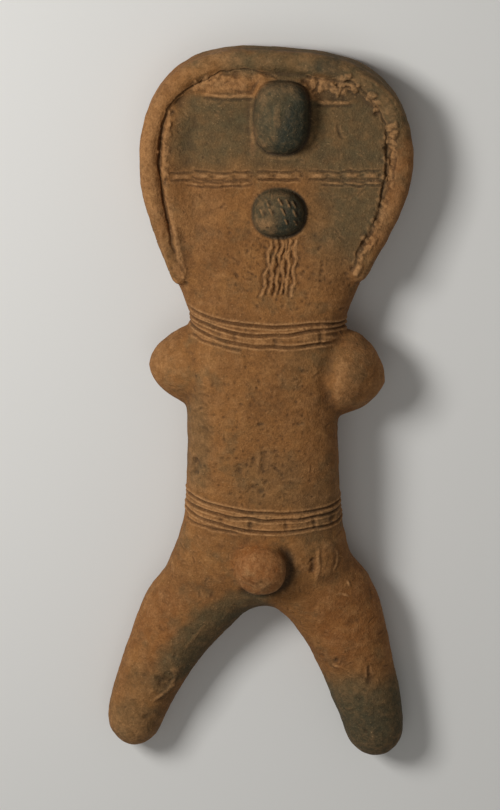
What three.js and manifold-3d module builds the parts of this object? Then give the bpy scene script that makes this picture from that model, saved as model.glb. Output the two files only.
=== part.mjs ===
// A hand-built clay figurine, fired in one piece and lying on its flat back: a plate-like head
// under an applied horseshoe roll, three applied knobs, stub arms, splayed legs without feet,
// and bands of incised lines.
//
// Millimetres. The origin is on the ground under the middle of the figure. +X is to the right as
// the figure is looked at, +Y points to the crown, +Z rises from the back to the front.
import * as THREE from "three";
import { mergeVertices } from "three/addons/utils/BufferGeometryUtils.js";
import Module from "manifold-3d";

const wasm = await Module();
wasm.setup();

// Places along the length, and the middle of the whole length, which lies over the origin.
const CROTCH_Y = -63.6;
const HIP_Y = -54.0;
const CHEEK_Y = 69.0;
const CROWN_Y = 110.4;
const MIDDLE_Y = -1.5;

// Trunk and head. Each row is a level of the figure, from the crotch up: its place y, half of its
// width, the x of its middle, the z where it is widest, the z of its front, and how square its
// section is (2 is an ellipse).
const TRUNK_LEVELS = [
  { y: CROTCH_Y, half: 34.0, middle: -0.4, widest: 10.5, front: 23.5, square: 2.2 },
  { y: -56.0, half: 31.0, middle: -0.5, widest: 11.0, front: 26.0, square: 2.2 },
  { y: -45.5, half: 27.2, middle: -0.5, widest: 12.0, front: 28.2, square: 2.3 },
  { y: -32.5, half: 24.6, middle: -0.6, widest: 13.0, front: 29.0, square: 2.7 },
  { y: -11.7, half: 23.4, middle: -1.9, widest: 13.5, front: 29.5, square: 2.9 },
  { y: 13.0, half: 23.4, middle: -2.2, widest: 13.5, front: 29.5, square: 2.9 },
  { y: 27.0, half: 24.0, middle: -2.1, widest: 12.5, front: 27.5, square: 2.9 },
  { y: 43.0, half: 30.2, middle: -2.4, widest: 10.5, front: 24.0, square: 3.2 },
  { y: CHEEK_Y, half: 40.6, middle: -1.6, widest: 8.5, front: 20.0, square: 4.2 },
  { y: CROWN_Y, half: 40.6, middle: -1.2, widest: 7.5, front: 16.0, square: 4.2 },
];
const CROWN_LEAN = 0.025; // the crown drops by this much to the right, for each millimetre of width
const BACK_Z = -1.2; // the round of the back runs this far below the ground before it is cut flat
const GROUND_BLOCK = 400; // the block that cuts it
const CROWN_POWER = 3.0; // how square the rounding of the crown is, and of the crotch
const CROTCH_POWER = 2.3;
const PLATE_EDGE = 0.3; // the head keeps its thickness almost to its edge
const CROTCH_EDGE = 0.6;
const CROWN_SHARE = 0.3; // shares of the rings that round the crown and the crotch
const CROTCH_SHARE = 0.12;

// Applied roll round the head, a horseshoe open at the neck. Its left end is thinner, and both ends
// sink deeper, as the head's edge rounds off there. The runs are shares of its length.
const COIL = { half: 3.5, height: 4.0, overhang: 0.6, leftEndHalf: 2.4, leftEndRun: 0.2 };
const COIL_SINK = { crown: 1.6, ends: 4.4, run: 0.3 };
const COIL_LEFT_END_Y = 36.5;
const COIL_RIGHT_END_Y = 39.0;

// Applied knobs: centre, half sizes, and how square each is.
const NOSE = { at: [0.1, 90.4, 17.5], half: [8.3, 10.8, 10.0], square: 2.7 };
const MOUTH = { at: [0.3, 61.8, 19.8], half: [8.2, 7.6, 7.5], square: 2.2 };
const LOIN_KNOB = { at: [-1.0, -49.0, 25.0], half: [8.4, 8.0, 11.0], square: 2.3 };

// Stub arms: centre, half sizes, how square each is, and the turn that lets the tips droop.
const LEFT_ARM = { at: [-20.0, 12.0, 13.0], half: [18.3, 13.8, 10.5], square: 1.75, droop: 4 };
const RIGHT_ARM = { at: [21.6, 11.6, 15.5], half: [14.6, 14.2, 12.4], square: 1.5, droop: -10 };

// Legs in one arch from the rounded end on the left, through the hips, to the end on the right:
// places, half widths and half heights.
const LEGS = [
  { at: [-40.0, -113.4, 8.0], half: [8.0, 8.4] },
  { at: [-36.4, -97.0, 8.8], half: [9.8, 9.6] },
  { at: [-29.8, -80.0, 9.6], half: [11.9, 10.6] },
  { at: [-22.2, -66.2, 10.4], half: [14.1, 11.6] },
  { at: [-9.8, -55.0, 11.6], half: [12.8, 13.0] },
  { at: [6.3, -52.1, 12.0], half: [13.1, 13.4] },
  { at: [20.2, -60.7, 11.0], half: [14.2, 12.2] },
  { at: [28.6, -77.6, 10.0], half: [12.3, 11.0] },
  { at: [35.0, -96.0, 9.2], half: [10.3, 10.0] },
  { at: [39.4, -113.4, 8.4], half: [8.4, 8.6] },
];

// Incised lines. Bands run round the front from side to side and rise or fall a little.
const GROOVE_HALF = 0.75;
const NECK_LINES_Y = [26.7, 24.6, 21.4];
const WAIST_LINES_Y = [-30.8, -33.3, -37.2];
const BAND_FALL = 0.6; // a band drops by this much from its middle to its right end
const BAND_SAG = 1.0; // and its middle hangs this much below its ends
const BAND_WRAP = 20; // degrees that a band runs past the sides towards the back
const BROW_STROKES = [
  [-33.0, -8.5],
  [-6.0, 7.5],
  [12.0, 31.0],
];
const BROW_ROWS_Y = [74.6, 71.4];
const BROW_SLOPE = 0.055;
const BEARD = { count: 5, topY: 54.0, bottomY: 36.0, topHalf: 3.4, bottomHalf: 5.6, middle: 1.8 };

// Points round and along each piece, and the share of a roll's rings that rounds each end.
const TRUNK_GRID = [32, 36];
const LEGS_GRID = [18, 38];
const COIL_GRID = [10, 40];
const ARM_GRID = [16, 12];
const KNOB_GRID = [16, 10];
const BAND_GRID = [5, 20];
const STROKE_GRID = [5, 8];
const LEG_END_SHARE = 0.12;
const COIL_END_SHARE = 0.06;
const GROOVE_END_SHARE = 0.12;
const MERGE_WITHIN = 1e-4;

const UP = new THREE.Vector3(0, 0, 1);
const TO_CROWN = new THREE.Vector3(0, 1, 0.01).normalize(); // never quite in line with a stroke
const LEFT_EDGE = 0; // turns round a section of the trunk
const FRONT = Math.PI / 2;
const RIGHT_EDGE = Math.PI;
const degrees = THREE.MathUtils.degToRad;
const signedPower = (value, power) => Math.sign(value) * Math.abs(value) ** power;

// A smooth run through rows of numbers, one row for each place.
function smoothRun(places, rows) {
  return new THREE.CubicInterpolant(places, rows.flat(), rows[0].length);
}

const trunkLines = smoothRun(
  TRUNK_LEVELS.map(({ y }) => y),
  TRUNK_LEVELS.map(({ half, middle, widest, front, square }) => [half, middle, widest, front, square]),
);

// A closed geometry as a solid that can be joined and cut.
function solid(geometry) {
  geometry.deleteAttribute("normal");
  geometry.deleteAttribute("uv");
  const merged = mergeVertices(geometry, MERGE_WITHIN);
  return new wasm.Manifold(
    new wasm.Mesh({
      numProp: 3,
      vertProperties: merged.getAttribute("position").array,
      triVerts: new Uint32Array(merged.index.array),
    }),
  );
}

// A ball pushed into shape: form(share, turn) places each point, with share running from 0 at one
// pole to 1 at the other and turn the angle round that axis.
function pushedBall(grid, form) {
  const ball = new THREE.SphereGeometry(1, ...grid);
  const place = ball.getAttribute("position");
  const uv = ball.getAttribute("uv");
  for (let i = 0; i < place.count; i++) {
    const p = form(1 - uv.getY(i), (uv.getX(i) % 1) * 2 * Math.PI);
    place.setXYZ(i, p.x, p.y, p.z);
  }
  return solid(ball);
}

// The trunk's height at a share of its rings from the crown down, and how far it has swollen from
// the pole to its full section there.
function trunkLevel(share) {
  if (share < CROWN_SHARE) {
    const power = 2 / CROWN_POWER;
    const angle = ((share / CROWN_SHARE) * Math.PI) / 2;
    return {
      y: CHEEK_Y + (CROWN_Y - CHEEK_Y) * Math.cos(angle) ** power,
      swell: Math.sin(angle) ** power,
    };
  }
  if (share > 1 - CROTCH_SHARE) {
    const power = 2 / CROTCH_POWER;
    const angle = (((1 - share) / CROTCH_SHARE) * Math.PI) / 2;
    return {
      y: HIP_Y + (CROTCH_Y - HIP_Y) * Math.cos(angle) ** power,
      swell: Math.sin(angle) ** power,
    };
  }
  const part = (share - CROWN_SHARE) / (1 - CROTCH_SHARE - CROWN_SHARE);
  return { y: THREE.MathUtils.lerp(CHEEK_Y, HIP_Y, part), swell: 1 };
}

// A point of the trunk's skin: turn 0 is the left edge, a quarter turn the front.
function trunkSkin(y, turn, swell = 1) {
  const [half, middle, widest, front, square] = trunkLines.evaluate(y);
  const rise = signedPower(Math.sin(turn), 2 / square);
  const reach = rise > 0 ? front - widest : widest - BACK_Z;
  const edge = y > HIP_Y ? PLATE_EDGE : CROTCH_EDGE;
  const across = -half * swell * signedPower(Math.cos(turn), 2 / square);
  const nearCrown = Math.max(0, (y - CHEEK_Y) / (CROWN_Y - CHEEK_Y));
  return new THREE.Vector3(
    middle + across,
    y - CROWN_LEAN * across * nearCrown,
    widest + reach * rise * swell ** edge,
  );
}

// A roll of clay along a curve, with rounded ends. sizes(t) gives its half width and half height.
function roll(curve, up, sizes, grid, endShare) {
  const length = curve.getLength();
  const startRound = sizes(0)[0] / length;
  const endRound = sizes(1)[0] / length;
  return pushedBall(grid, (share, turn) => {
    const quarter = (Math.min(1, Math.min(share, 1 - share) / endShare) * Math.PI) / 2;
    const swell = Math.sin(quarter);
    const tip = 1 - Math.cos(quarter);
    let place = startRound * tip;
    if (share > 1 - endShare) {
      place = 1 - endRound * tip;
    } else if (share > endShare) {
      const part = (share - endShare) / (1 - 2 * endShare);
      place = THREE.MathUtils.lerp(startRound, 1 - endRound, part);
    }
    const [half, height] = sizes(curve.getUtoTmapping(place));
    const tangent = curve.getTangentAt(place);
    const side = new THREE.Vector3().crossVectors(up, tangent).normalize();
    const rise = new THREE.Vector3().crossVectors(tangent, side);
    return curve
      .getPointAt(place)
      .addScaledVector(side, -Math.cos(turn) * half * swell)
      .addScaledVector(rise, Math.sin(turn) * height * swell);
  });
}

// A pebble-shaped knob or stub.
function pebble({ at, half, square, droop = 0 }, grid) {
  const ball = new THREE.SphereGeometry(1, ...grid);
  const place = ball.getAttribute("position");
  const point = new THREE.Vector3();
  for (let i = 0; i < place.count; i++) {
    point.fromBufferAttribute(place, i);
    const size = point.toArray().reduce((sum, value) => sum + Math.abs(value) ** square, 0);
    point.multiplyScalar(size ** (-1 / square));
    place.setXYZ(i, point.x, point.y, point.z);
  }
  return solid(ball.scale(...half).rotateZ(degrees(droop)).translate(...at));
}

function legs() {
  const curve = new THREE.CatmullRomCurve3(LEGS.map(({ at }) => new THREE.Vector3(...at)));
  const sizes = smoothRun(
    LEGS.map((_, i) => i / (LEGS.length - 1)),
    LEGS.map(({ half }) => half),
  );
  return roll(curve, UP, (t) => [...sizes.evaluate(t)], LEGS_GRID, LEG_END_SHARE);
}

// The horseshoe roll: it follows the head's edge from the left jaw over the crown to the right jaw.
function coil() {
  const { lerp, smoothstep } = THREE.MathUtils;
  const halfAt = (t) => lerp(COIL.leftEndHalf, COIL.half, smoothstep(t, 0, COIL.leftEndRun));
  const sinkAt = (t) => {
    const fromEnd = smoothstep(Math.min(t, 1 - t), 0, COIL_SINK.run);
    return lerp(COIL_SINK.ends, COIL_SINK.crown, fromEnd);
  };
  const headMiddle = trunkSkin(CHEEK_Y, FRONT).setZ(0);
  const onEdge = (share, turn, t) => {
    const { y, swell } = trunkLevel(share);
    const edge = trunkSkin(y, turn, swell).setZ(0);
    const inward = new THREE.Vector3().subVectors(headMiddle, edge).normalize();
    const face = trunkSkin(y, FRONT).z;
    return edge.addScaledVector(inward, halfAt(t) - COIL.overhang).setZ(face - sinkAt(t));
  };
  const shareAt = (y) =>
    CROWN_SHARE + ((CHEEK_Y - y) / (CHEEK_Y - HIP_Y)) * (1 - CROTCH_SHARE - CROWN_SHARE);
  const steps = 14;
  const places = [];
  for (let i = 0; i < steps; i++) {
    places.push(onEdge(shareAt(COIL_LEFT_END_Y) * (1 - i / steps), LEFT_EDGE, (0.5 * i) / steps));
  }
  for (let i = 0; i <= steps; i++) {
    places.push(onEdge((shareAt(COIL_RIGHT_END_Y) * i) / steps, RIGHT_EDGE, 0.5 + (0.5 * i) / steps));
  }
  const curve = new THREE.CatmullRomCurve3(places);
  return roll(curve, UP, (t) => [halfAt(t), COIL.height], COIL_GRID, COIL_END_SHARE);
}

// A cut with a rounded tool along a line of points on the skin.
function groove(points, grid) {
  const curve = new THREE.CatmullRomCurve3(points);
  return roll(curve, TO_CROWN, () => [GROOVE_HALF, GROOVE_HALF], grid, GROOVE_END_SHARE);
}

// One line of a band round the front of the neck or the waist.
function bandLine(y) {
  const points = [];
  const stepCount = 12;
  for (let i = 0; i <= stepCount; i++) {
    const turn = degrees(THREE.MathUtils.lerp(-BAND_WRAP, 180 + BAND_WRAP, i / stepCount));
    const level = y + BAND_FALL * Math.cos(turn) + BAND_SAG * (1 - Math.sin(turn));
    points.push(trunkSkin(level, turn));
  }
  return groove(points, BAND_GRID);
}

// A straight stroke on the face from one (x, y) to another.
function faceStroke([x0, y0], [x1, y1]) {
  const onFace = (x, y) => new THREE.Vector3(x, y, trunkSkin(y, FRONT).z);
  const middle = onFace((x0 + x1) / 2, (y0 + y1) / 2);
  return groove([onFace(x0, y0), middle, onFace(x1, y1)], STROKE_GRID);
}

function browBand() {
  return BROW_STROKES.flatMap(([x0, x1]) =>
    BROW_ROWS_Y.map((y) => faceStroke([x0, y + BROW_SLOPE * x0], [x1, y + BROW_SLOPE * x1])),
  );
}

function beard() {
  const { count, topY, bottomY, topHalf, bottomHalf, middle } = BEARD;
  return Array.from({ length: count }, (_, i) => {
    const across = (2 * i) / (count - 1) - 1;
    return faceStroke([middle + across * topHalf, topY], [middle + across * bottomHalf, bottomY]);
  });
}

// Everything below the ground, so that the back is cut flat.
function underground() {
  const block = new THREE.BoxGeometry(GROUND_BLOCK, GROUND_BLOCK, GROUND_BLOCK);
  return solid(block.translate(0, 0, -GROUND_BLOCK / 2));
}

function clayFigure() {
  const trunk = pushedBall(TRUNK_GRID, (share, turn) => {
    const { y, swell } = trunkLevel(share);
    return trunkSkin(y, turn, swell);
  });
  const added = [
    legs(),
    pebble(LEFT_ARM, ARM_GRID),
    pebble(RIGHT_ARM, ARM_GRID),
    coil(),
    ...[NOSE, MOUTH, LOIN_KNOB].map((knob) => pebble(knob, KNOB_GRID)),
  ];
  const lines = [...NECK_LINES_Y, ...WAIST_LINES_Y].map(bandLine);
  const strokes = [...lines, ...browBand(), ...beard()];
  const incised = strokes.reduce((body, stroke) => body.subtract(stroke), trunk);
  const joined = added.reduce((body, piece) => body.add(piece), incised);
  return joined.subtract(underground());
}

function geometryOf(body) {
  const { vertProperties, triVerts } = body.getMesh();
  const geometry = new THREE.BufferGeometry();
  geometry.setAttribute("position", new THREE.BufferAttribute(vertProperties, 3));
  geometry.setIndex(new THREE.BufferAttribute(triVerts, 1));
  geometry.computeVertexNormals();
  return geometry;
}

const firedClay = new THREE.MeshStandardMaterial({ color: 0x8a5c38, roughness: 0.9, metalness: 0 });
const figure = new THREE.Mesh(geometryOf(clayFigure()), firedClay);
figure.name = "clay_figure";
figure.position.y = -MIDDLE_Y;

const figurine = new THREE.Group();
figurine.add(figure);

export default figurine;
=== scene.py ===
"""A hand-built clay figurine, fired in one piece, lying on its flat back and seen from above."""

import itertools
import math

import bmesh
import bpy
import numpy as np
from mathutils import Matrix, Vector


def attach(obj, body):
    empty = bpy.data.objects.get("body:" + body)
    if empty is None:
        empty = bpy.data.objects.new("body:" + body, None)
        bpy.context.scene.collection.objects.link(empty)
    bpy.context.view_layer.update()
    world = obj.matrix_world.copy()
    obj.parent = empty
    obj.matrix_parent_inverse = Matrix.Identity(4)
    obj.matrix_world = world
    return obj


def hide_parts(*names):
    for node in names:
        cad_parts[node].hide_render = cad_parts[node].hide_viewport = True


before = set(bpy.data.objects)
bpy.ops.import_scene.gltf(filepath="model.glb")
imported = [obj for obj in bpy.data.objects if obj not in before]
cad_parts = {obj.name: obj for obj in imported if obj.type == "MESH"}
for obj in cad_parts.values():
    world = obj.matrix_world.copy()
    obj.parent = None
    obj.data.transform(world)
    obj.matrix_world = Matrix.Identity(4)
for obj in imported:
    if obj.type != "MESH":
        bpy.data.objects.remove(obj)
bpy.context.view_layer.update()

# Sizes on the figure are in millimetres. +X is to the right as the figure is looked at, +Y points
# to the crown and +Z rises from the back to the front. Places on the front are (x, y).
MM = 0.001

# The clay's skin: the spacing of its points while it is worked, and its triangles afterwards.
SKIN_STEP = 0.4
SKIN_TRIANGLES = 192_000

# Rounds of rubbing smooth: all over, on the solid's plain cuts, and where clay is smeared.
SOFTEN_ROUNDS = 45
FLATTEN_ROUNDS = 130
SMEAR_ROUNDS = 260
FULL_RUB = 0.85  # how far a point moves towards its neighbours' middle in one round

# Thinning: the group of points that may go, the tint above which a place counts as drawn, and how
# freely a drawn place is thinned where a plain one has 1.
PLAIN = "plain_places"
DRAWN = 0.25
FINE_SHARE = 0.2

# What the points carry for their colour: soil with painted shade, rubbing with painted highlights, dark coat
# with painted shade, fire clouds with painted shade, and redder clay.
TINTS = ("dirt_and_shade", "rub_and_highlight", "coat_and_shade", "ash_and_shade", "red")
EVERYWHERE = slice(None)

FRONT_FROM = -0.25  # a point belongs to the front if its normal rises more than this
CHIN = 36.0  # below it, tools reached only the clay that faces the front

# The applied knobs: middle, half width and half length, and how square each outline is.
NOSE = dict(at=(-0.1, 92.4), half=(8.6, 11.3), square=2.7)
MOUTH = dict(at=(0.3, 63.3), half=(8.2, 7.6), square=2.2)
LOIN_KNOB = dict(at=(-1.0, -47.5), half=(8.4, 8.0), square=2.3)

# Bands of three incised lines. Each line has its level at the middle, its rise to the right for each
# millimetre, its rise towards both ends for each square millimetre, and its end on the right. All
# begin at start on the left and run level to the right of level_from. Nicks cut the lowest strip.
NECK = dict(
    lines=[(29.0, 0.016, 0.0056, 25.5), (26.5, 0.06, 0.0075, 25.5), (22.9, 0.011, 0.0068, 19.5)],
    nicks=[-21.3, -11.5, 0.6, 14.8],
    start=-27.5,
    level_from=11.0,
)
WAIST = dict(
    lines=[(-29.5, 0.0, 0.0051, 39.0), (-31.6, 0.008, 0.0043, 39.0), (-35.3, -0.02, 0.0059, 39.0)],
    nicks=[-23.0, -13.8, -4.3, 6.4, 14.9, 20.5],
    start=-41.0,
    level_from=40.0,
)
BAND_LINE = dict(half=0.42, depth=0.7, lip=0.42, fade=3.0)
STRAY_LINES = [
    [(-25.5, 24.6), (-21.5, 23.3), (-14.8, 22.3), (-9.0, 21.3)],
    [(-27.5, -34.2), (-21.7, -34.9), (-14.3, -35.6), (-8.0, -36.2)],
]

# The brow's rows of long beads: level, thickness, and the stretches that the row fills.
BROW_ROWS = [
    (74.6, 1.0, [(-33.0, -8.2), (-6.8, 6.6), (9.0, 31.8)]),
    (72.2, 0.6, [(-28.4, -8.6), (13.0, 31.2)]),
]
BROW_RISE = 0.045  # for each millimetre to the right
BEAD_LENGTHS = (4.2, 7.0)
SHORTEST_BEAD = 2.0

# The strokes below the mouth: their number, their levels, and x of the first stroke and the width
# across them all, at the top and at the bottom.
STRANDS = 6
STRAND_LEVELS = np.linspace(56.6, 37.6, 23)
STRANDS_TOP = (-2.2, 7.2)
STRANDS_BOTTOM = (-4.7, 9.3)
STRAND_GAP = 0.85  # from a stroke to the ridge beside it

# The roll round the head: where its inner edge meets the face, on each side.
LEFT_CREASE = [
    (-1.6, 104.6), (-6.2, 105.6), (-12.0, 106.4), (-19.6, 105.3), (-25.3, 102.3), (-29.1, 99.7),
    (-33.2, 96.2), (-35.9, 89.7), (-36.7, 83.0), (-36.8, 75.4), (-36.1, 70.5), (-34.4, 63.0),
    (-33.3, 58.5), (-32.2, 53.5), (-31.0, 49.4),
]
RIGHT_CREASE = [
    (6.5, 104.8), (13.0, 104.6), (19.0, 104.6), (23.0, 102.6), (27.2, 98.6), (30.4, 93.6),
    (31.9, 89.7), (32.3, 84.0), (32.4, 77.5), (31.6, 71.2), (30.6, 64.7), (28.4, 58.9), (25.8, 54.0),
    (23.2, 46.9),
]

# Below the crown, clay is smeared from the face up against the roll along these lines, and it
# reaches this far from the roll.
LEFT_JOINT = LEFT_CREASE[6:] + [(-29.8, 45.8), (-28.4, 41.0), (-27.2, 37.0)]
RIGHT_JOINT = RIGHT_CREASE[5:]
LEFT_REACH = 10.0
RIGHT_REACH = 7.0
LEFT_ROLL_END = [(-32.4, 55.0), (-31.2, 50.5), (-30.2, 46.5), (-29.2, 43.5)]

# Beside the roll: small holes, strips of torn clay with their half width and height, crumbs that
# bridge the right crease, and thin strips across the forehead.
ROLL_HOLES = [
    (-33.6, 92.4), (28.6, 94.7), (26.4, 55.4), (23.2, 47.2), (32.0, 84.0), (-34.9, 71.6), (6.0, 103.6),
]
TORN_STRIPS = [
    ([(-26.6, 101.0), (-21.0, 102.8), (-15.0, 104.0)], 1.7, 0.6),
    ([(9.0, 103.6), (9.6, 98.6)], 1.7, 0.7),
    ([(11.0, 102.6), (21.0, 101.4)], 2.4, 0.8),
    ([(18.6, 105.6), (15.6, 100.4)], 1.7, 1.2),
    ([(22.8, 103.4), (20.8, 100.8)], 1.5, 1.1),
    ([(26.0, 100.0), (28.8, 96.6)], 1.8, 1.3),
    ([(32.8, 92.0), (34.4, 89.0)], 1.7, 1.1),
    ([(34.3, 88.0), (34.0, 80.2), (33.4, 72.4)], 1.3, 0.8),
    ([(32.8, 70.0), (31.6, 63.0), (29.8, 58.5)], 1.1, 0.6),
    ([(29.2, 57.0), (27.4, 53.4), (25.4, 50.0)], 1.3, 0.8),
    ([(-34.6, 93.0), (-35.0, 82.0), (-34.6, 70.0)], 1.4, 0.6),
]
TORN_SEED = 70  # the first strip's, and the next ones count on from it
CRUMBS = [(32.4, 87.0), (32.5, 80.4), (32.2, 75.0), (31.2, 68.0), (29.6, 61.6), (27.0, 56.4)]
FOREHEAD_STRIPS = [
    [(-24.4, 98.3), (-19.0, 98.0), (-14.0, 98.2), (-8.6, 98.6)],
    [(10.0, 97.6), (14.0, 97.3), (21.6, 97.7)],
]

# Where the clay is coarse: middle, spread, number of pits and seed, for the chin, belly and chest.
COARSE_PLACES = [
    ((3.0, 46.0), (11.0, 7.0), 260, 8),
    ((-2.0, -16.0), (8.0, 7.0), 150, 9),
    ((-2.0, 5.0), (12.0, 10.0), 110, 10),
]
SCRATCHES = 700

# Lumps that fingers and a smoothing tool leave: size, depth and seed.
LUMPS = [(13.0, 0.7, 1), (5.5, 0.36, 2), (2.6, 0.22, 3), (1.3, 0.12, 4)]

# The solid's plain cuts of the neck, waist, brow and chin: x from and to, y from and to.
PLAIN_CUTS = [
    (-27.0, 23.0, 19.0, 35.0),
    (-60.0, 60.0, -39.0, -24.5),
    (-33.0, 33.0, 69.0, 79.5),
    (-7.5, 10.5, 34.0, 58.0),
]

# Soft patches of tint: middle, half width and half length, and strength.
PATCHES = [
    ("ash_and_shade", (0.0, 109.0), (32.0, 5.5), 0.85),
    ("ash_and_shade", (33.0, 98.0), (9.0, 7.0), 0.5),
    ("coat_and_shade", (13.6, 108.3), (4.6, 3.0), 0.55),
    # paler along the top-left of the roll: rubbed wear and painted highlight on the side facing the light
    ("rub_and_highlight", (-19.0, 110.0), (6.0, 2.4), 0.4),
    # a thin paler strip down the nose's left edge: painted highlight on the edge facing the light
    ("rub_and_highlight", (-8.6, 86.0), (1.2, 7.0), 0.5),
    ("ash_and_shade", (-30.0, -88.0), (4.5, 5.0), 0.6),
    ("ash_and_shade", (-39.0, -104.0), (10.0, 11.0), 0.5),
    ("ash_and_shade", (-35.0, -90.0), (8.0, 10.0), 0.3),
    ("ash_and_shade", (-23.0, -8.0), (7.0, 20.0), 0.45),
    ("ash_and_shade", (2.0, -20.0), (14.0, 12.0), 0.3),
    ("ash_and_shade", (17.0, -28.0), (9.0, 16.0), 0.3),
    ("ash_and_shade", (12.0, 20.0), (10.0, 8.0), 0.25),
    ("red", (-1.5, -47.0), (9.0, 9.0), 1.0),
    ("red", (-31.0, -72.0), (9.0, 16.0), 0.4),
    ("red", (27.0, -66.0), (14.0, 16.0), 0.5),
    ("rub_and_highlight", (-24.0, 61.0), (9.0, 11.0), 0.2),
    ("ash_and_shade", (-33.0, 50.0), (5.0, 8.0), 0.25),
    ("rub_and_highlight", (-4.6, 60.6), (3.2, 2.6), 0.65),
    ("rub_and_highlight", (-1.2, 58.6), (2.4, 1.5), 0.7),
]

# Soft strips of tint: their line, half width and strength.
INNER_THIGH = [(-3.0, -62.0), (-13.0, -66.5), (-20.0, -74.0), (-25.5, -82.0)]
# Painted shade along the inner edge of the left leg, on its side away from the light.
INNER_EDGE_SHADE = [(-6.0, -66.0), (-14.0, -71.0), (-19.5, -78.0), (-24.0, -86.0), (-28.0, -98.0)]
RIGHT_ROLL = [(38.0, 84.0), (37.0, 74.0), (34.5, 65.0), (31.0, 57.0)]
LEFT_ROLL = [(-39.0, 96.0), (-40.5, 85.0), (-40.0, 72.0), (-37.5, 63.0)]
STAINS = [
    ("ash_and_shade", INNER_THIGH, 8.0, 0.85),
    # painted shade on the left leg's inner edge
    ("coat_and_shade", INNER_EDGE_SHADE, 4.0, 0.25),
    ("red", RIGHT_ROLL, 4.5, 0.5),
    ("rub_and_highlight", RIGHT_ROLL[2:], 3.5, 0.3),
    # paler along the left roll's outer side: rubbed wear and painted highlight on the side facing the light
    ("rub_and_highlight", LEFT_ROLL, 4.0, 0.4),
]


def ease(low, high, value):
    """0 below low, 1 above high, and a soft change between them."""
    share = np.clip((value - low) / (high - low), 0.0, 1.0)
    return share * share * (3.0 - 2.0 * share)


def hump(value, middle, half):
    """1 at the middle, falling away softly on both sides."""
    return np.exp(-(((value - middle) / half) ** 2))


def mottle(at, size, seed):
    """Soft noise from 0 to 1 whose lumps are about that size."""
    cells = 32
    table = np.random.default_rng(seed).random((cells, cells, cells))
    place = at / size
    base = np.floor(place).astype(int)
    part = place - base
    part = part * part * (3.0 - 2.0 * part)
    total = np.zeros(len(at))
    for corner in itertools.product((0, 1), repeat=3):
        weight = np.where(corner, part, 1.0 - part).prod(axis=1)
        cell = (base + corner) % cells
        total += weight * table[cell[:, 0], cell[:, 1], cell[:, 2]]
    return total


def bent(points):
    """A smooth line through given points."""
    steps = 6
    points = np.array(points, float)
    if len(points) < 3:
        return points
    ends = np.vstack([2 * points[0] - points[1], points, 2 * points[-1] - points[-2]])
    line = []
    for a, b, c, d in zip(ends, ends[1:], ends[2:], ends[3:]):
        for t in np.arange(steps) / steps:
            line.append(
                b + 0.5 * t * (c - a + t * (2 * a - 5 * b + 4 * c - d + t * (3 * (b - c) + d - a)))
            )
    return np.array(line + [points[-1]])


def measure(at, line):
    """How far each place is from a line, how far along it, and the line's length."""
    away = np.full(len(at), np.inf)
    along = np.zeros(len(at))
    length = 0.0
    for start, end in zip(line, line[1:]):
        way = end - start
        size = math.hypot(*way)
        share = np.clip((at - start) @ way / size**2, 0.0, 1.0)
        gap = np.hypot(*(at - start - share[:, None] * way).T)
        nearer = gap < away
        away = np.where(nearer, gap, away)
        along = np.where(nearer, length + share * size, along)
        length += size
    return away, along, length


class Skin:
    """Points of the clay's skin, how far the maker's tools push each one out, and its tints."""

    def __init__(self, mesh):
        count = len(mesh.vertices)
        flat = np.zeros(count * 3)
        mesh.vertices.foreach_get("co", flat)
        self.at = flat.reshape(-1, 3) / MM
        flat = np.zeros(count * 3)
        mesh.vertices.foreach_get("normal", flat)
        self.normal = flat.reshape(-1, 3)
        pairs = np.zeros(len(mesh.edges) * 2, int)
        mesh.edges.foreach_get("vertices", pairs)
        self.pairs = pairs.reshape(-1, 2)
        self.x, self.y, self.z = self.at.T
        self.front = self.normal[:, 2] > FRONT_FROM
        facing = np.where(self.y < CHIN, ease(0.1, 0.5, self.normal[:, 2]), 1.0)
        self.reached = ease(6.0, 13.0, self.z) * facing
        self.push = np.zeros(count)
        self.tints = {name: np.zeros(count) for name in TINTS}

    def near(self, line, reach):
        """Points of the front in the box round a line."""
        low = line.min(axis=0) - reach
        high = line.max(axis=0) + reach
        across = (self.x > low[0]) & (self.x < high[0])
        return np.flatnonzero(across & (self.y > low[1]) & (self.y < high[1]) & self.front)

    def tint(self, name, who, amount):
        """Lay a tint on some points, where it is stronger than what they have."""
        kept = self.tints[name]
        kept[who] = np.maximum(kept[who], amount)

    def softened(self, weight, rounds):
        """The points after rounds of moving each towards its neighbours' middle, by its weight."""
        moving = np.flatnonzero(weight > 0)
        own = np.full(len(self.at), -1)
        own[moving] = np.arange(len(moving))
        a, b = self.pairs[(own[self.pairs] >= 0).any(axis=1)].T
        ends = own[np.concatenate([a, b])]
        others = np.concatenate([b, a])[ends >= 0]
        ends = ends[ends >= 0]
        degree = np.bincount(ends, minlength=len(moving))
        share = weight[moving]
        at = self.at.copy()
        for _ in range(rounds):
            for k in range(3):
                middle = np.bincount(ends, at[others, k], len(moving)) / degree
                at[moving, k] += share * (middle - at[moving, k])
        return at

    def soften(self, weight, rounds):
        """Rub the skin smooth, more where the weight is higher."""
        self.at = self.softened(weight, rounds)
        self.x, self.y, self.z = self.at.T

    def write(self, mesh):
        """Move a mesh's points to where these are."""
        mesh.vertices.foreach_set("co", (self.at * MM).ravel())
        mesh.update()


def shaken(at, size, reach):
    """Places moved about a little, so that an edge drawn from them is ragged."""
    shake = np.stack([mottle(at, size, seed=11), mottle(at, size, seed=12)], axis=1)
    return at[:, :2] + reach * (2.0 * shake - 1.0)


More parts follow.
